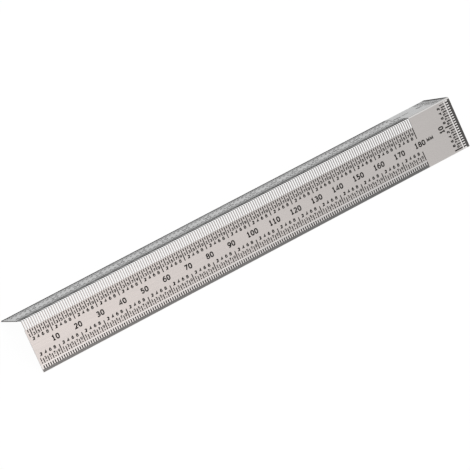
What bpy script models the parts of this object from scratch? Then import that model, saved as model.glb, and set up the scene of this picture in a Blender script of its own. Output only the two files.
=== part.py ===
"""Marking bend rule: a strip of stainless sheet folded to an L, with a row of pencil slots across the fold.

Metres, +Z up. The rule stands as it comes to rest, like a tent: the fold on top, both long edges below.
"""

from math import cos, pi, sin

import bmesh
import bpy

# The folded sheet.
LEG = 0.0215  # each leg, from the outer face of the other one to its own long edge
THICKNESS = 0.0004
BEND_INNER_RADIUS = 0.0003
BEND_FACETS = 4

# The slots, one at each millimetre of the scale from zero on. The scale's zero is the left end, so only
# half of the first slot is there, as a notch in that end.
SLOT_PITCH = 0.001
LAST_SLOT = 180
SLOT_WIDTH = 0.00068
SLOT_RUN = 0.0038  # how far a slot runs down each leg, from the inner face of the other leg
PLAIN_END = 0.020  # unslotted length past the last slot

# How far the cutters reach past the sheet's outer faces.
CUT_OVERHANG = 0.0005

STEEL_COLOUR = (0.46, 0.435, 0.427, 1.0)
STEEL_ROUGHNESS = 0.32

QUARTER_TURN = pi / 2
LEAN = QUARTER_TURN / 2  # the two legs are alike, so both lean the same way off the vertical
LENGTH = LAST_SLOT * SLOT_PITCH + PLAIN_END
BEND_OUTER_RADIUS = BEND_INNER_RADIUS + THICKNESS
FOLD_HEIGHT = LEG * cos(LEAN) + THICKNESS * sin(LEAN)


def clear_scene():
    for obj in list(bpy.data.objects):
        bpy.data.objects.remove(obj, do_unlink=True)


def steel_material():
    material = bpy.data.materials.new("brushed_stainless")
    material.use_nodes = True
    shader = material.node_tree.nodes["Principled BSDF"]
    shader.inputs["Base Color"].default_value = STEEL_COLOUR
    shader.inputs["Metallic"].default_value = 1.0
    shader.inputs["Roughness"].default_value = STEEL_ROUGHNESS
    return material


def new_object(name, mesh_builder, parent):
    """A mesh object made from what mesh_builder adds to an empty bmesh, under the given parent."""
    mesh = bpy.data.meshes.new(name)
    shape = bmesh.new()
    mesh_builder(shape)
    bmesh.ops.recalc_face_normals(shape, faces=shape.faces)
    shape.to_mesh(mesh)
    shape.free()
    obj = bpy.data.objects.new(name, mesh)
    bpy.context.scene.collection.objects.link(obj)
    obj.parent = parent
    return obj


def fold_arc(radius):
    """Points of the bend's arc in the section, from the top leg round to the front leg, as (y, z)."""
    centre = BEND_OUTER_RADIUS
    points = []
    for step in range(BEND_FACETS + 1):
        angle = QUARTER_TURN * (1 + step / BEND_FACETS)
        points.append((centre + radius * cos(angle), -centre + radius * sin(angle)))
    return points


def section():
    """The L section as (y, z): the top leg runs along +Y, the front leg down -Z, the outer corner at 0, 0."""
    outer = [(LEG, 0.0), *fold_arc(BEND_OUTER_RADIUS), (0.0, -LEG)]
    inner = [(LEG, -THICKNESS), *fold_arc(BEND_INNER_RADIUS), (THICKNESS, -LEG)]
    return outer + inner[::-1]


def build_sheet(shape):
    """The section drawn at the scale's zero end and extruded to the rule's full length."""
    corners = [shape.verts.new((0.0, y, z)) for y, z in section()]
    end_face = shape.faces.new(corners)
    swept = bmesh.ops.extrude_face_region(shape, geom=[end_face])
    moved = [item for item in swept["geom"] if isinstance(item, bmesh.types.BMVert)]
    bmesh.ops.translate(shape, verts=moved, vec=(LENGTH, 0.0, 0.0))


def build_slot_cutters(shape):
    """A square block at each millimetre, laid over the fold, so that one block slots both legs alike."""
    near = -CUT_OVERHANG
    far = THICKNESS + SLOT_RUN
    side = far - near
    middle = (far + near) / 2
    for number in range(LAST_SLOT + 1):
        block = bmesh.ops.create_cube(shape, size=1.0)["verts"]
        bmesh.ops.scale(shape, verts=block, vec=(SLOT_WIDTH, side, side))
        bmesh.ops.translate(shape, verts=block, vec=(number * SLOT_PITCH, middle, -middle))


def make_stand():
    """The frame that the folded sheet is drawn in: square to its legs, turned to lean evenly on both edges."""
    stand = bpy.data.objects.new("stand", None)
    bpy.context.scene.collection.objects.link(stand)
    stand.rotation_euler = (-LEAN, 0.0, 0.0)
    stand.location = (-LENGTH / 2, 0.0, FOLD_HEIGHT)
    return stand


def make_rule(stand):
    rule = new_object("bend_rule", build_sheet, stand)
    rule.data.materials.append(steel_material())
    cutters = new_object("slot_cutters", build_slot_cutters, stand)
    cutters.hide_render = True
    cutters.display_type = "WIRE"
    cut = rule.modifiers.new("pencil_slots", "BOOLEAN")
    cut.operation = "DIFFERENCE"
    cut.solver = "EXACT"
    cut.object = cutters
    return rule


def main():
    clear_scene()
    make_rule(make_stand())


main()
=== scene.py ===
"""Marking bend rule, dressed for its picture: brushed stainless sheet, smooth fold, etched scales.

The rule is drawn in millimetres, and sheet_point and Leg.point turn its points into the frame's metres.
Floor, lamp and camera are in metres.
"""

from math import copysign, cos, pi, radians, sin, sqrt

import bmesh
import bpy
from mathutils import Matrix, Vector
from mathutils.geometry import delaunay_2d_cdt


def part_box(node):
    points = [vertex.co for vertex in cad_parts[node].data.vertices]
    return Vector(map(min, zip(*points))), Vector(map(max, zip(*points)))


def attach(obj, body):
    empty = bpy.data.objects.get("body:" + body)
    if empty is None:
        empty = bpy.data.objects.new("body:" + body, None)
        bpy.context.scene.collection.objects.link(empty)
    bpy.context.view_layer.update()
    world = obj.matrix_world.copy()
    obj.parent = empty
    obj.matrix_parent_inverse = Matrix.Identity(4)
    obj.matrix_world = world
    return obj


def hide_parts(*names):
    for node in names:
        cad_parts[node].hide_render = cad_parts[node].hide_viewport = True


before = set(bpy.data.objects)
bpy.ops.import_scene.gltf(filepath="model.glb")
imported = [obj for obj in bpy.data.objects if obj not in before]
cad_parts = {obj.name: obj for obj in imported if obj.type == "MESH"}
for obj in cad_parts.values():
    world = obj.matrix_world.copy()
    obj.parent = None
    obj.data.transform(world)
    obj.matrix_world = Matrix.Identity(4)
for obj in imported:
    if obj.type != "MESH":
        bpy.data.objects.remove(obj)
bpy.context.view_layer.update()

MM = 0.001
HALF_ROOT = sqrt(0.5)  # both legs lean 45 degrees

# The sheet, in millimetres. Its length and legs come from the frame.
THICKNESS = 0.4
BEND_INNER_RADIUS = 0.3
BEND_OUTER_RADIUS = BEND_INNER_RADIUS + THICKNESS
BEND_FACETS = 12
SLOT_PITCH = 1.0
LAST_SLOT = 180  # slots stand at 0 to 180, and the one at 0 is half off the end
SLOT_WIDTH = 0.68
SLOT_RUN = 3.8
SLOT_CORNER = 0.12
SLOT_CORNER_FACETS = 3
APRON = 0.3  # strip past each slot's end, where the mesh changes from slots to plain sheet
SHOULDER = 0.12  # strip past the fold's round, so that its shading ends there
EDGE_ROUND = 0.06
EDGE_ROUND_SEGMENTS = 2
HIGHLIGHT_STRIPS = range(4, 9)  # strips that carry a painted highlight, counted over the fold from the front leg up
CREASE_ANGLE = radians(30)  # sharper turns than this aren't shaded smooth
WELD = 1e-7  # corners closer than this are one, in metres
NEAR = 1e-6  # corners this close to the rim lie on it, in metres

low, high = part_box("bend_rule")
LENGTH = (high.x - low.x) / MM
LEG = (high.y - low.y) / (2 * HALF_ROOT) / MM
FOLD_HEIGHT = (LEG + THICKNESS) * HALF_ROOT

# The etched scales. On each leg, distances run down towards the long edge. The zero is a little under
# the inner face of the other leg.
SCALE_LENGTH = LAST_SLOT * SLOT_PITCH
MARK_SHIFT = 0.07  # how far the etched scales sit to the right of the slots
MARK_DROP = 0.15  # and how far their zero is under that inner face
MARK_RISE = 0.008  # how far the marks stand proud of the sheet
MARK_ROOT = 0.02  # and how deep they reach into it
LINE_WIDTH = 0.4
TICK_WIDTH = 0.45  # the ticks are the short lines that end on the dark bands
END_LINE_WIDTH = 0.5
END_TICK_WIDTH = 0.52
BAND_OVERRUN = 0.25  # how far the edge band and its polished strip, a painted highlight, run past the last tick

# The front leg's polished strips, which lie lower than the ticks that cross them. Their brightness over
# the sheet is a painted highlight. One runs along the long edge, and two across the plain end, measured
# in from the end of the rule.
POLISH_HIGHLIGHT_RISE = 0.003
EDGE_POLISH_HIGHLIGHT = (17.98, 19.8)
END_POLISH_HIGHLIGHTS = ((1.05, 2.15), (2.5, 3.0))

# Lettering: height, width, stroke and the step from one character to the next.
ODD_TYPE = (1.28, 0.96, 0.36, 1.05)
EVEN_TYPE = (1.36, 1.08, 0.44, 1.05)
EDGE_ODD_TYPE = (1.3, 0.9, 0.32, 1.05)
BIG_TYPE = (2.26, 1.6, 0.5, 1.74)
END_ODD_TYPE = (1.22, 0.96, 0.37, 1.05)
END_EVEN_TYPE = (1.3, 1.06, 0.45, 1.05)
END_BIG_TYPE = (2.4, 1.5, 0.5, 1.5)
UNIT_TYPE = (1.48, 1.46, 0.42, 1.66)
# Numerals with loops or close strokes take a finer stroke, so that they don't fill up.
SMALL_TYPE_HEIGHT = 1.5  # type lower than this is small
SMALL_STROKE_SHARES = {"0": 0.85, "3": 0.9, "4": 0.74, "5": 0.88, "6": 0.8, "8": 0.75, "9": 0.82}
BIG_STROKE_SHARES = {"4": 0.82, "6": 0.88, "8": 0.92}
MITRE_LIMIT = 0.45  # the mitre of a sharp corner reaches no further than half a stroke over this
STROKE_WELD = 1e-5  # corners of a character closer than this are one
STROKE_NEAR = 1e-6  # ends of a stroke this close meet, and a triangle this thin is dropped

# Scale beside the slots: from, to and the digit's middle.
SLOT_SCALE = {
    "odd": (3.83, 4.9, 6.1),
    "even": (3.83, 6.64, 7.67),
    "ten": (3.83, 8.45, 11.02),
}
# Scale along the long edge, in the same way.
EDGE_SCALE = {
    "odd": (17.2, 17.75, 16.2),
    "even": (15.9, 17.92, 14.25),
    "ten": (14.07, 17.85, None),
}
# Ticks from that scale to the dark band, which is wider on the top leg.
EDGE_TICK = {"front": (18.46, 19.8), "top": (18.0, 19.3)}
# Scale across the plain end, measured in from the end of the rule.
END_SCALE_COUNT = 20
END_BAND_WIDTH = 1.13
END_TICK = (1.08, 2.5)
END_SCALE = {
    "odd": (3.08, 3.62, 4.6),
    "even": (2.97, 4.95, 6.22),
    "ten": (2.97, 6.75, 8.56),
}
HUNDRED = 100
HUNDRED_SHIFT = -0.15  # the first number of three digits stands a little to the left of its line
LONG_NUMBER_SHIFT = 0.25  # and the rest of them to the right of theirs
UNIT_OFFSET = 5.22  # from the last line to the unit mark's middle
UNIT_LIFT = 0.12  # how far that is above the middle of the numbers

# The part of a leg's face that the bands and strips may cover, from the scale's zero.
FACE_TOP = BEND_OUTER_RADIUS - THICKNESS - MARK_DROP
FACE_EDGE = LEG - THICKNESS - MARK_DROP - EDGE_ROUND
FACE_END = LENGTH - MARK_SHIFT
ALONG_SCALE = (EDGE_ROUND - MARK_SHIFT, SCALE_LENGTH + BAND_OVERRUN)

# The sheet's finishes, as material places.
BRIGHT = 0
# cut faces: a dull cut skin, darkened as painted shade on the front leg's slot walls and the top leg's
# rims
CUT_SKIN_AND_SHADE = 1
# slot walls over the fold and in the top leg: nearly black painted shade
CUT_PAINTED_SHADE = 2
# the fold's round: a lighter copy of the brushed steel that paints a highlight
PAINTED_HIGHLIGHT = 3

# The darkest and the lightest colour of each finish.
BRUSHED_COLOURS = (0.447, 0.430, 0.419, 1), (0.457, 0.440, 0.429, 1)
# cut skin, darkened with painted shade
CUT_SKIN_AND_SHADE_COLOURS = (0.08, 0.077, 0.075, 1), (0.13, 0.126, 0.123, 1)
# nearly black, painted shade in the slots
CUT_PAINTED_SHADE_COLOURS = (0.015, 0.0145, 0.014, 1), (0.035, 0.034, 0.033, 1)
# lighter steel for the painted highlight on the fold
FOLD_HIGHLIGHT_COLOURS = (0.66, 0.65, 0.64, 1), (0.73, 0.72, 0.71, 1)
FROSTED_COLOURS = (0.115, 0.116, 0.116, 1), (0.145, 0.146, 0.146, 1)
# polished strips, lighter than the sheet as a painted highlight
POLISH_HIGHLIGHT_EDGE_COLOURS = (0.495, 0.488, 0.482, 1), (0.535, 0.528, 0.522, 1)
POLISH_HIGHLIGHT_END_COLOURS = (0.66, 0.65, 0.64, 1), (0.72, 0.71, 0.70, 1)
BLACK_COLOURS = (0.010, 0.009, 0.008, 1), (0.022, 0.020, 0.018, 1)
DARK_COLOURS = (0.085, 0.082, 0.08, 1), (0.125, 0.121, 0.118, 1)

BUMP_HEIGHT = 0.00001  # metres, for the full strength of each bump
STEEL_RIM_TINT = (0.92, 0.95, 0.965, 1)  # the sheet reflects a little cooler at low angles
CUT_PAINTED_SHADE_RIM = 0.3  # and the slots' walls with painted shade reflect much less there, which adds to that painted shade

# A Mix node's sockets for colours.
MIX_FACTOR = 0
MIX_FIRST = 6
MIX_SECOND = 7
MIX_RESULT = 2

# The floor, a little under the rule, and how bright it and the world look. WORLD_LIGHT is the light
# that the world gives the object.
FLOOR_REACH = 6.0
FLOOR_DROP = 0.00002
FLOOR_COLOUR = (0.82, 0.82, 0.82, 1)
FLOOR_WHITE = 1.05
FLOOR_WHITE_SHARE = 0.9
WHITE = (1, 1, 1, 1)
WORLD_LIGHT = 0.75
WORLD_WHITE = 1.0

# The one lamp, which is aimed at the rule's middle.
LAMP_PLACE = (0.22, -0.94, 0.67)
LAMP_SIZE = (0.3, 0.5)
LAMP_POWER = 0.74
LAMP_COLOUR = (1.0, 0.86, 0.81)

# The camera, from the photograph's own perspective on the rule.
CAMERA_TARGET = Vector((-0.002262, 0.000543, -0.000727))
CAMERA_DISTANCE = 1.27793
CAMERA_TURN = radians(-34.1983)  # from straight in front, towards the scale's zero end
CAMERA_ELEVATION = radians(48.9084)
CAMERA_ROLL = radians(-0.6721)
CAMERA_LENS = 252.518
CAMERA_SENSOR = 36.0
CAMERA_REACH = 50.0


def leg_row(leg, drop):
    """The outer and inner (y, z) of a row across a leg, this far down from the outer corner."""
    if leg == "front":
        return (0.0, -drop), (THICKNESS, -drop)
    return (drop, 0.0), (drop, -THICKNESS)


def fold_rows():
    """The rows round the fold, from the front leg up to the top leg."""
    centre = BEND_OUTER_RADIUS
    rows = []
    for step in range(BEND_FACETS + 1):
        angle = pi - pi / 2 * step / BEND_FACETS
        rows.append(tuple(
            (centre + radius * cos(angle), -centre + radius * sin(angle))
            for radius in (BEND_OUTER_RADIUS, BEND_INNER_RADIUS)
        ))
    return rows


def sheet_rows():
    """The rows from the front leg's long edge to the top leg's, in three runs. The slots cross over."""
    slot_end = THICKNESS + SLOT_RUN
    shoulder = BEND_OUTER_RADIUS + SHOULDER
    straight = slot_end - SLOT_CORNER
    over = [leg_row("front", straight), leg_row("front", shoulder)]
    over += fold_rows()
    over += [leg_row("top", shoulder), leg_row("top", straight)]
    front = [leg_row("front", LEG), leg_row("front", slot_end + APRON)]
    top = [leg_row("top", slot_end + APRON), leg_row("top", LEG)]
    return front, over, top


def sheet_point(x, spot):
    """A point of the upright section, turned to lean on both edges and set over the rule's middle."""
    y, z = spot
    return Vector((
        x - LENGTH / 2,
        (y + z) * HALF_ROOT,
        (z - y) * HALF_ROOT + FOLD_HEIGHT,
    )) * MM


def patch(shape, corners, outer_finish=BRIGHT):
    """One piece of the sheet's outer face and the piece of its inner face behind it."""
    for side, order, finish in ((0, 1, outer_finish), (1, -1, BRIGHT)):
        points = [sheet_point(x, row[side]) for x, row in corners][::order]
        face = shape.faces.new([shape.verts.new(point) for point in points])
        face.material_index = finish


def fold_finish(place):
    """The finish of the outer face from the row at this place to the next, counted over the fold. Some
    of these strips take a painted highlight.
    """
    return PAINTED_HIGHLIGHT if place in HIGHLIGHT_STRIPS else BRIGHT


def wall(shape, path, finish):
    """The cut faces through the sheet's thickness along a path."""
    for (x0, row0), (x1, row1) in zip(path, path[1:]):
        points = (
            sheet_point(x0, row0[0]),
            sheet_point(x1, row1[0]),
            sheet_point(x1, row1[1]),
            sheet_point(x0, row0[1]),
        )
        face = shape.faces.new([shape.verts.new(point) for point in points])
        face.material_index = finish


def slot_end_path(middle, leg):
    """The outline round a slot's end, from its left side, or the sheet's own end, to its right side."""
    slot_end = THICKNESS + SLOT_RUN
    half = SLOT_WIDTH / 2
    path = []
    for step in range(SLOT_CORNER_FACETS + 1):
        angle = pi / 2 * step / SLOT_CORNER_FACETS
        away = half - SLOT_CORNER + SLOT_CORNER * cos(angle)
        path.append((away, slot_end - SLOT_CORNER + SLOT_CORNER * sin(angle)))
    right = [(middle + away, leg_row(leg, drop)) for away, drop in path[::-1]]
    if middle == 0:
        return [(0.0, leg_row(leg, slot_end)), *right]
    return [(middle - away, leg_row(leg, drop)) for away, drop in path] + right


def add_slot_cell(shape, middle, front, over, top):
    """One millimetre of the sheet, its slot in the middle, or the right half of that at the end."""
    halved = middle == 0
    left = 0.0 if halved else middle - SLOT_PITCH / 2
    right = middle + SLOT_PITCH / 2
    bars = [(middle + SLOT_WIDTH / 2, right)]
    slot_sides = [middle + SLOT_WIDTH / 2]
    if not halved:
        bars.append((left, middle - SLOT_WIDTH / 2))
        slot_sides.append(middle - SLOT_WIDTH / 2)
    for place, (below, above) in enumerate(zip(over, over[1:])):
        for x0, x1 in bars:
            corners = [(x0, below), (x1, below), (x1, above), (x0, above)]
            patch(shape, corners, fold_finish(place))
    # Slot walls: in the front leg the cut skin darkened with painted shade, over the fold and beyond
    # nearly black painted shade.
    for x in slot_sides:
        wall(shape, [(x, row) for row in over[:2]], CUT_SKIN_AND_SHADE)
        wall(shape, [(x, row) for row in over[1:]], CUT_PAINTED_SHADE)
    # Slot ends take painted shade too: the darkened cut skin on the front leg, nearly black on the top
    # leg. The top leg's end takes the darkened cut skin.
    for leg, straight, apron, edge, slot_finish, end_finish in (
        ("front", over[0], front[1], front[0], CUT_SKIN_AND_SHADE, BRIGHT),
        ("top", over[-1], top[0], top[1], CUT_PAINTED_SHADE, CUT_SKIN_AND_SHADE),
    ):
        end = slot_end_path(middle, leg)
        start = [] if halved else [(left, straight)]
        patch(shape, [*start, *end, (right, straight), (right, apron), (left, apron)])
        wall(shape, end, slot_finish)
        patch(shape, [(left, apron), (right, apron), (right, edge), (left, edge)])
        if halved:
            wall(shape, [end[0], (left, apron), (left, edge)], end_finish)


def add_plain_strip(shape, x0, x1, rows, first_over):
    """The sheet with no slots. The row at first_over is the first of those over the fold."""
    for place, (below, above) in enumerate(zip(rows, rows[1:])):
        corners = [(x0, below), (x1, below), (x1, above), (x0, above)]
        patch(shape, corners, fold_finish(place - first_over))


def mark_round_edges(mesh):
    """Gives the sheet's outer rim, and not its slots, the weight that rounds it."""
    weights = mesh.attributes.new("bevel_weight_edge", "FLOAT", "EDGE")
    half = LENGTH / 2 * MM
    rim_heights = (THICKNESS * HALF_ROOT * MM, 0.0)
    for edge in mesh.edges:
        ends = [mesh.vertices[index].co for index in edge.vertices]
        at_end = all(abs(abs(end.x) - half) < NEAR for end in ends)
        along_rim = any(all(abs(end.z - height) < NEAR for end in ends) for height in rim_heights)
        through = abs(ends[0].x - ends[1].x) < NEAR and not at_end
        crosses = along_rim and at_end
        if (at_end or along_rim) and not through and not crosses:
            weights.data[edge.index].value = 1.0


def build_sheet():
    shape = bmesh.new()
    front, over, top = sheet_rows()
    rows = front + over + top
    for number in range(LAST_SLOT + 1):
        add_slot_cell(shape, number * SLOT_PITCH, front, over, top)
    add_plain_strip(shape, (LAST_SLOT + 0.5) * SLOT_PITCH, LENGTH, rows, len(front))
    columns = [0.0, *((number + 0.5) * SLOT_PITCH for number in range(LAST_SLOT + 1)), LENGTH]
    wall(shape, [(LENGTH, row) for row in rows], BRIGHT)
    wall(shape, [(x, front[0]) for x in columns], BRIGHT)
    # The top leg's long rim takes the darker cut finish, painted shade, while the front leg's rims stay
    # bright steel.
    wall(shape, [(x, top[1]) for x in columns], CUT_SKIN_AND_SHADE)
    bmesh.ops.remove_doubles(shape, verts=shape.verts, dist=WELD)
    bmesh.ops.recalc_face_normals(shape, faces=shape.faces)
    mesh = bpy.data.meshes.new("rule_sheet")
    shape.to_mesh(mesh)
    shape.free()
    mesh.shade_smooth()
    mesh.set_sharp_from_angle(angle=CREASE_ANGLE)
    mark_round_edges(mesh)
    sheet = bpy.data.objects.new("rule_sheet", mesh)
    bpy.context.scene.collection.objects.link(sheet)
    rounding = sheet.modifiers.new("deburred_rim", "BEVEL")
    rounding.limit_method = "WEIGHT"
    rounding.width = EDGE_ROUND * MM
    rounding.segments = EDGE_ROUND_SEGMENTS
    rounding.harden_normals = True
    return sheet


def arc(centre, radii, start, end, facets=14):
    """Points of an ellipse's arc, in degrees, in a box one wide and one high."""
    points = []
    for step in range(facets + 1):
        angle = radians(start + (end - start) * step / facets)
        points.append((centre[0] + radii[0] * cos(angle), centre[1] + radii[1] * sin(angle)))
    return points


def oval(facets=28, fullness=0.78):
    """A closed loop over the whole box, fuller at its shoulders than an ellipse."""
    points = []
    for step in range(facets + 1):
        angle = 2 * pi * step / facets
        x, y = (copysign(abs(part) ** fullness, part) for part in (cos(angle), sin(angle)))
        points.append((0.5 + 0.5 * x, 0.5 + 0.5 * y))
    points[-1] = points[0]
    return points


# The strokes of plain numerals and of the unit's letter: centre lines in a box one wide and one high.
GLYPH_STROKES = {
    "0": [oval()],
    "1": [[(0.08, 0.82), (0.5, 1.0), (0.5, 0.0)], [(0.05, 0.0), (0.95, 0.0)]],
    "2": [arc((0.48, 0.71), (0.46, 0.29), 160, -28) + [(0.0, 0.0), (1.0, 0.0)]],
    "3": [
        arc((0.42, 0.75), (0.46, 0.25), 145, -90) + [(0.3, 0.5)],
        [(0.3, 0.5)] + arc((0.42, 0.25), (0.54, 0.25), 90, -145),
    ],
    "4": [[(0.76, 0.0), (0.76, 1.0), (0.0, 0.24), (1.05, 0.24)]],
    "5": [
        [(0.92, 1.0), (0.17, 1.0), (0.11, 0.46)],
        arc((0.42, 0.31), (0.54, 0.31), 128, -145),
    ],
    "6": [
        arc((0.5, 0.31), (0.5, 0.31), 0, 360, facets=20),
        arc((0.72, 0.36), (0.72, 0.64), 72, 184),
    ],
    "7": [[(0.0, 1.0), (1.0, 1.0), (0.34, 0.0)]],
    "8": [
        arc((0.5, 0.76), (0.43, 0.24), 0, 360, facets=18),
        arc((0.5, 0.27), (0.5, 0.27), 0, 360, facets=20),
    ],
    "9": [
        arc((0.5, 0.69), (0.5, 0.31), 0, 360, facets=20),
        arc((0.28, 0.64), (0.72, 0.64), 252, 364),
    ],
    "M": [[(0.0, 0.0), (0.0, 1.0), (0.5, 0.25), (1.0, 1.0), (1.0, 0.0)]],
}


def ribbon(points, width):
    """Quads that follow a centre line, its corners mitred, as tuples of four points."""
    closed = (Vector(points[0]) - Vector(points[-1])).length < STROKE_NEAR
    line = [Vector(point) for point in (points[:-1] if closed else points)]
    count = len(line)
    sides = []
    for index, point in enumerate(line):
        before = line[index - 1] if closed or index > 0 else None
        after = line[(index + 1) % count] if closed or index < count - 1 else None
        into = (point - before).normalized() if before is not None else (after - point).normalized()
        out = (after - point).normalized() if after is not None else into
        normal_in = Vector((-into.y, into.x))
        normal_out = Vector((-out.y, out.x))
        bisector = (normal_in + normal_out).normalized()
        reach = width / 2 / max(bisector.dot(normal_in), MITRE_LIMIT)
        sides.append((point + bisector * reach, point - bisector * reach))
    pairs = list(zip(sides, sides[1:]))
    if closed:
        pairs.append((sides[-1], sides[0]))
    return [(a[1], b[1], b[0], a[0]) for a, b in pairs]


def glyph_faces(character, height, width, stroke):
    """A flat character of one skin, as points and triangles, its middle at 0, 0."""
    span = (width - stroke, height - stroke)
    corners = []
    triangles = []
    for line in GLYPH_STROKES[character]:
        centre_line = [((x - 0.5) * span[0], (y - 0.5) * span[1]) for x, y in line]
        for a, b, c, d in ribbon(centre_line, stroke):
            for triangle in ((a, b, c), (a, c, d)):
                turn = (triangle[1] - triangle[0]).cross(triangle[2] - triangle[0])
                if abs(turn) > STROKE_NEAR:
                    triangles.append(list(range(len(corners), len(corners) + 3)))
                    corners.extend(triangle if turn > 0 else triangle[::-1])
    points, _, faces, _, _, sources = delaunay_2d_cdt(corners, [], triangles, 0, STROKE_WELD)
    inked = [face for face, source in zip(faces, sources) if source]
    return [tuple(point) for point in points], inked


class Lettering:
    """Characters of one size."""

    def __init__(self, characters, kind):
        height, width, stroke, self.step = kind
        shares = SMALL_STROKE_SHARES if height < SMALL_TYPE_HEIGHT else BIG_STROKE_SHARES
        self.glyphs = {
            character: glyph_faces(character, height, width, stroke * shares.get(character, 1.0))
            for character in characters
        }


class Leg:
    """Where a leg's outer face lies, and which way its lettering reads."""

    def __init__(self, name):
        self.name = name
        lean = -1.0 if name == "front" else 1.0
        self.down = Vector((0.0, lean * HALF_ROOT, -HALF_ROOT))
        self.outward = Vector((0.0, lean * HALF_ROOT, HALF_ROOT))
        # Lettering stands towards the fold on the front leg, and away from it on the top leg.
        self.upright = lean
        fold = Vector((MARK_SHIFT - LENGTH / 2, 0.0, FOLD_HEIGHT))
        self.start = fold + self.down * (THICKNESS + MARK_DROP)

    def point(self, along, down, rise):
        spot = self.start + Vector((along, 0.0, 0.0)) + self.down * down + self.outward * rise
        return spot * MM


class Marks:
    """The flat marks of one piece on one leg, as closed plates that sit in the sheet's face."""

    def __init__(self, name, leg, rise):
        self.name = name
        self.leg = leg
        self.rise = rise
        self.shape = bmesh.new()

    def add(self, points, faces):
        """A plate over flat faces given in (along, down) millimetres."""
        upper = [self.shape.verts.new(self.leg.point(a, d, self.rise)) for a, d in points]
        lower = [self.shape.verts.new(self.leg.point(a, d, -MARK_ROOT)) for a, d in points]
        rims = {}
        for face in faces:
            self.shape.faces.new([upper[index] for index in face])
            self.shape.faces.new([lower[index] for index in face][::-1])
            for a, b in zip(face, face[1:] + face[:1]):
                if (b, a) in rims:
                    del rims[(b, a)]
                else:
                    rims[(a, b)] = True
        for a, b in rims:
            self.shape.faces.new([upper[a], lower[a], lower[b], upper[b]])

    def bar(self, along, down):
        """A plain rectangle between two (low, high) pairs."""
        (left, right), (upper, lower) = along, down
        self.add([(left, upper), (right, upper), (right, lower), (left, lower)], [[0, 1, 2, 3]])

    def line_down(self, middle, down, width):
        self.bar((middle - width / 2, middle + width / 2), down)

    def line_along(self, middle, along, width):
        self.bar(along, (middle - width / 2, middle + width / 2))

    def text(self, words, lettering, middle, turned=False):
        """Upright lettering round a middle point, or lettering that reads up the end of the rule."""
        first = -lettering.step * (len(words) - 1) / 2
        stand = self.leg.upright
        for place, character in enumerate(words):
            points, faces = lettering.glyphs[character]
            shift = first + place * lettering.step
            if turned:
                placed = [(middle[0] - y, middle[1] + stand * (x + shift)) for x, y in points]
            else:
                placed = [(middle[0] + x + shift, middle[1] + stand * y) for x, y in points]
            self.add(placed, faces)

    def finish(self):
        bmesh.ops.recalc_face_normals(self.shape, faces=self.shape.faces)
        mesh = bpy.data.meshes.new(self.name)
        self.shape.to_mesh(mesh)
        self.shape.free()
        piece = bpy.data.objects.new(self.name, mesh)
        bpy.context.scene.collection.objects.link(piece)
        return piece


def kind_of(number):
    """Which of the three kinds of line a millimetre has."""
    if number % 10 == 0:
        return "ten"
    return "even" if number % 2 == 0 else "odd"


def add_graduations(lines):
    """The lines of all three scales on one leg, and the ticks that stand on the dark bands."""
    for number in range(1, LAST_SLOT + 1):
        at = number * SLOT_PITCH
        kind = kind_of(number)
        lines.line_down(at, SLOT_SCALE[kind][:2], LINE_WIDTH)
        lines.line_down(at, EDGE_SCALE[kind][:2], LINE_WIDTH)
        lines.line_down(at, EDGE_TICK[lines.leg.name], TICK_WIDTH)
    for number in range(1, END_SCALE_COUNT + 1):
        at = number * SLOT_PITCH
        near, far, _ = END_SCALE[kind_of(number)]
        lines.line_along(at, (FACE_END - far, FACE_END - near), END_LINE_WIDTH)
        near, far = END_TICK
        lines.line_along(at, (FACE_END - far, FACE_END - near), END_TICK_WIDTH)


def add_edge_band(band):
    """The band along the long edge, from where its ticks end."""
    band.bar(ALONG_SCALE, (EDGE_TICK[band.leg.name][1], FACE_EDGE))


def add_end_band(band):
    """The band across the plain end, under its ticks."""
    band.bar((FACE_END - END_BAND_WIDTH, FACE_END - EDGE_ROUND), (FACE_TOP, FACE_EDGE))


def add_edge_ground(ground):
    """The polished strip that the ticks of the long edge cross, brighter than the sheet as a painted
    highlight.
    """
    ground.bar(ALONG_SCALE, EDGE_POLISH_HIGHLIGHT)


def add_end_ground(ground):
    """The polished strips that the end's ticks cross and that lie past them, brighter than the sheet as
    a painted highlight.
    """
    for near, far in END_POLISH_HIGHLIGHTS:
        ground.bar((FACE_END - far, FACE_END - near), (FACE_TOP, FACE_EDGE))


def number_shift(number):
    """How far the middle of a big number stands to the right of its line."""
    if number < HUNDRED:
        return 0.0
    return HUNDRED_SHIFT if number == HUNDRED else LONG_NUMBER_SHIFT


def add_numbers(numbers):
    """The digit of every millimetre, the number of every tenth and the unit beside the last one."""
    digits = "0123456789"
    slot_small = {"odd": Lettering(digits, ODD_TYPE), "even": Lettering(digits, EVEN_TYPE)}
    edge_small = {"odd": Lettering(digits, EDGE_ODD_TYPE), "even": slot_small["even"]}
    end_small = {"odd": Lettering(digits, END_ODD_TYPE), "even": Lettering(digits, END_EVEN_TYPE)}
    big = Lettering(digits, BIG_TYPE)
    end_big = Lettering(digits, END_BIG_TYPE)
    for number in range(1, LAST_SLOT + 1):
        at = number * SLOT_PITCH
        kind = kind_of(number)
        if kind == "ten":
            numbers.text(str(number), big, (at + number_shift(number), SLOT_SCALE[kind][2]))
            continue
        digit = str(number % 10)
        numbers.text(digit, slot_small[kind], (at, SLOT_SCALE[kind][2]))
        numbers.text(digit, edge_small[kind], (at, EDGE_SCALE[kind][2]))
    for number in range(1, END_SCALE_COUNT):
        kind = kind_of(number)
        middle = (FACE_END - END_SCALE[kind][2], number * SLOT_PITCH)
        if kind == "ten":
            numbers.text(str(number), end_big, middle, turned=True)
        else:
            numbers.text(str(number % 10), end_small[kind], middle, turned=True)
    lifted = SLOT_SCALE["ten"][2] + numbers.leg.upright * UNIT_LIFT
    numbers.text("MM", Lettering("M", UNIT_TYPE), (SCALE_LENGTH + UNIT_OFFSET, lifted))


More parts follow.
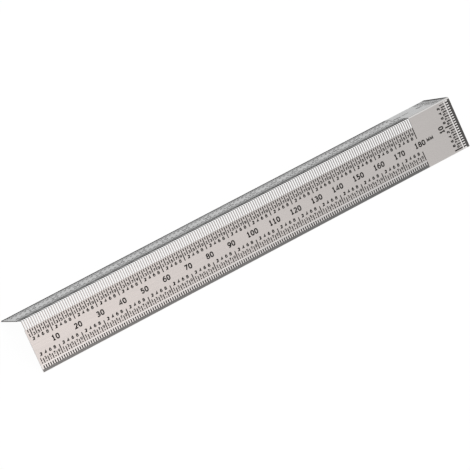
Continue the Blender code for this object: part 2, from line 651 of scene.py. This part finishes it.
def make_marks():
    """Every mark on both legs, as a list of (piece, ink)."""
    front = Leg("front")
    top = Leg("top")
    pieces = []
    for leg, part, ink, rise, add in (
        (front, "graduations", "black", MARK_RISE, add_graduations),
        (front, "numbers", "black", MARK_RISE, add_numbers),
        (front, "edge_band", "grey", MARK_RISE, add_edge_band),
        (front, "end_band", "dark", MARK_RISE, add_end_band),
        (top, "graduations", "black", MARK_RISE, add_graduations),
        (top, "numbers", "black", MARK_RISE, add_numbers),
        (top, "edge_band", "deep", MARK_RISE, add_edge_band),
        (top, "end_band", "deep", MARK_RISE, add_end_band),
        (front, "edge_ground", "fair", POLISH_HIGHLIGHT_RISE, add_edge_ground),
        (front, "end_ground", "bright", POLISH_HIGHLIGHT_RISE, add_end_ground),
    ):
        marks = Marks(leg.name + "_" + part, leg, rise)
        add(marks)
        pieces.append((marks.finish(), ink))
    return pieces


class Nodes:
    """The node tree of a new material or world, with short calls to add and join nodes."""

    def __init__(self, owner):
        self.owner = owner
        self.owner.use_nodes = True
        self.tree = self.owner.node_tree
        self.tree.nodes.clear()

    def add(self, kind, inputs=None, **settings):
        node = self.tree.nodes.new(kind)
        for key, value in settings.items():
            setattr(node, key, value)
        for key, value in (inputs or {}).items():
            if isinstance(value, bpy.types.NodeSocket):
                self.tree.links.new(value, node.inputs[key])
            else:
                node.inputs[key].default_value = value
        return node

    def streaks(self, across, along, detail):
        """Noise with so many streaks to the metre across the rule and along it."""
        place = self.add("ShaderNodeTexCoord").outputs["Object"]
        stretched = self.add("ShaderNodeMapping", {"Vector": place, "Scale": (along, across, across)})
        noise = self.add("ShaderNodeTexNoise", {
            "Vector": stretched.outputs["Vector"],
            "Scale": 1.0,
            "Detail": detail,
            "Roughness": 0.6,
        })
        return noise.outputs["Fac"]

    def remap(self, value, low_to, high_to, low_from=0.3, high_from=0.7):
        """The value spread from one range over another. Noise keeps mostly between 0.3 and 0.7."""
        node = self.add("ShaderNodeMapRange", {
            "Value": value,
            "From Min": low_from,
            "From Max": high_from,
            "To Min": low_to,
            "To Max": high_to,
        })
        return node.outputs["Result"]

    def between(self, colours, noise):
        """A colour that runs with the noise from the first of two to the second."""
        first, second = colours
        factor = self.remap(noise, low_to=0.0, high_to=1.0)
        inputs = {MIX_FACTOR: factor, MIX_FIRST: first, MIX_SECOND: second}
        return self.add("ShaderNodeMix", inputs, data_type="RGBA").outputs[MIX_RESULT]

    def bump(self, height, strength):
        node = self.add("ShaderNodeBump", {
            "Height": height,
            "Strength": strength,
            "Distance": BUMP_HEIGHT,
        })
        return node.outputs["Normal"]

    def surface(self, inputs):
        """The finished material, from the sockets of its shader."""
        return self.output(self.add("ShaderNodeBsdfPrincipled", inputs).outputs["BSDF"])

    def output(self, shader, kind="ShaderNodeOutputMaterial"):
        self.add(kind, {"Surface": shader})
        return self.owner


def steel_material(name, colours):
    """Stainless sheet brushed along its length: fine streaks in colour, roughness and bump."""
    nodes = Nodes(bpy.data.materials.new(name))
    fine = nodes.streaks(across=6500, along=70, detail=3)
    broad = nodes.streaks(across=900, along=16, detail=2)
    return nodes.surface({
        "Base Color": nodes.between(colours, broad),
        "Metallic": 1.0,
        "Roughness": nodes.remap(fine, low_to=0.29, high_to=0.35),
        "Specular Tint": STEEL_RIM_TINT,
        "Normal": nodes.bump(fine, strength=0.2),
    })


def cut_material(name, colours, rim=1.0):
    """The dull skin that cutting leaves, with fine marks through the sheet's thickness, made darker
    with painted shade.
    """
    nodes = Nodes(bpy.data.materials.new(name))
    fine = nodes.streaks(across=3000, along=9000, detail=3)
    return nodes.surface({
        "Base Color": nodes.between(colours, fine),
        "Metallic": 1.0,
        "Roughness": nodes.remap(fine, low_to=0.42, high_to=0.55),
        "Specular Tint": (rim, rim, rim, 1),
        "Normal": nodes.bump(fine, strength=0.4),
    })


def etched_material(name, colours, sheen=0.0):
    """The dull, slightly uneven floor of etched marks. Their sheen is a greyer look at low angles."""
    nodes = Nodes(bpy.data.materials.new(name))
    cloud = nodes.streaks(across=2600, along=1400, detail=3)
    return nodes.surface({
        "Base Color": nodes.between(colours, cloud),
        "Roughness": 0.75,
        "Specular IOR Level": 0.0,
        "Sheen Weight": sheen,
        "Sheen Roughness": 0.5,
        "Normal": nodes.bump(cloud, strength=0.3),
    })


def seen_as_backdrop(nodes):
    """1 where the camera, a gloss or a glass looks, and 0 for the light that falls on the object."""
    rays = nodes.add("ShaderNodeLightPath").outputs
    seen = rays["Is Camera Ray"]
    for ray in ("Is Glossy Ray", "Is Transmission Ray"):
        seen = nodes.add("ShaderNodeMath", {0: seen, 1: rays[ray]}, operation="MAXIMUM").outputs[0]
    return seen


def floor_material():
    """Matt white, which is mostly replaced by plain white where it is seen as the backdrop."""
    nodes = Nodes(bpy.data.materials.new("white_floor"))
    matt = nodes.add("ShaderNodeBsdfDiffuse", {"Color": FLOOR_COLOUR}).outputs[0]
    white = nodes.add("ShaderNodeEmission", {"Color": WHITE, "Strength": FLOOR_WHITE}).outputs[0]
    inputs = {0: seen_as_backdrop(nodes), 1: FLOOR_WHITE_SHARE}
    share = nodes.add("ShaderNodeMath", inputs, operation="MULTIPLY").outputs[0]
    mixed = nodes.add("ShaderNodeMixShader", {0: share, 1: matt, 2: white})
    return nodes.output(mixed.outputs[0])


def make_floor():
    """A plain white floor that keeps a faint shadow."""
    reach = FLOOR_REACH
    mesh = bpy.data.meshes.new("floor")
    corners = [(-reach, -reach, 0), (reach, -reach, 0), (reach, reach, 0), (-reach, reach, 0)]
    mesh.from_pydata(corners, [], [(0, 1, 2, 3)])
    mesh.materials.append(floor_material())
    floor = bpy.data.objects.new("floor", mesh)
    floor.location.z = -FLOOR_DROP
    bpy.context.scene.collection.objects.link(floor)


def make_world():
    """A white world, which gives the object a little less light than its own white."""
    nodes = Nodes(bpy.data.worlds.new("studio"))
    seen = seen_as_backdrop(nodes)
    strength = nodes.remap(seen, WORLD_LIGHT, WORLD_WHITE, low_from=0.0, high_from=1.0)
    background = nodes.add("ShaderNodeBackground", {"Color": WHITE, "Strength": strength})
    bpy.context.scene.world = nodes.output(background.outputs[0], "ShaderNodeOutputWorld")


def make_lamp():
    light = bpy.data.lights.new("left_softbox", "AREA")
    light.shape = "RECTANGLE"
    light.size, light.size_y = LAMP_SIZE
    light.energy = LAMP_POWER
    light.color = LAMP_COLOUR
    lamp = bpy.data.objects.new("left_softbox", light)
    bpy.context.scene.collection.objects.link(lamp)
    lamp.location = LAMP_PLACE
    lamp.rotation_mode = "QUATERNION"
    lamp.rotation_quaternion = Vector(LAMP_PLACE).to_track_quat("Z", "Y")


def make_camera():
    data = bpy.data.cameras.new("camera")
    data.lens = CAMERA_LENS
    data.sensor_width = CAMERA_SENSOR
    data.sensor_fit = "HORIZONTAL"
    data.clip_end = CAMERA_REACH
    camera = bpy.data.objects.new("camera", data)
    bpy.context.scene.collection.objects.link(camera)
    away = Vector((
        sin(CAMERA_TURN) * cos(CAMERA_ELEVATION),
        -cos(CAMERA_TURN) * cos(CAMERA_ELEVATION),
        sin(CAMERA_ELEVATION),
    ))
    facing = away.to_track_quat("Z", "Y").to_matrix().to_4x4()
    place = Matrix.Translation(CAMERA_TARGET + away * CAMERA_DISTANCE)
    camera.matrix_world = place @ facing @ Matrix.Rotation(CAMERA_ROLL, 4, "Z")
    bpy.context.scene.camera = camera


def dress_sheet(sheet):
    """The sheet's finishes, in the order of their material places. It stands for the CAD node."""
    sheet.data.materials.append(steel_material("brushed_stainless", BRUSHED_COLOURS))
    # cut faces darkened with painted shade
    sheet.data.materials.append(cut_material("cut_stainless", CUT_SKIN_AND_SHADE_COLOURS))
    # slot walls in nearly black painted shade
    sheet.data.materials.append(cut_material("cut_shaded", CUT_PAINTED_SHADE_COLOURS, rim=CUT_PAINTED_SHADE_RIM))
    # a painted highlight along the fold's round
    sheet.data.materials.append(steel_material("fold_worn_bright", FOLD_HIGHLIGHT_COLOURS))
    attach(sheet, "root")
    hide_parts("bend_rule")


def dress_marks(pieces):
    """Every mark rides with the sheet and takes its ink."""
    inks = {
        "black": etched_material("etched_black", BLACK_COLOURS, sheen=0.3),
        "deep": etched_material("etched_deep", BLACK_COLOURS),
        "dark": etched_material("etched_dark", DARK_COLOURS),
        "grey": steel_material("frosted_edge", FROSTED_COLOURS),
        # polished strips, lighter than the sheet as a painted highlight
        "fair": steel_material("polished_edge", POLISH_HIGHLIGHT_EDGE_COLOURS),
        "bright": steel_material("polished_end", POLISH_HIGHLIGHT_END_COLOURS),
    }
    for piece, ink in pieces:
        piece.data.materials.append(inks[ink])
        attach(piece, "root")


def main():
    bpy.context.scene.view_settings.view_transform = "Standard"
    dress_sheet(build_sheet())
    dress_marks(make_marks())
    make_floor()
    make_world()
    make_lamp()
    make_camera()


main()
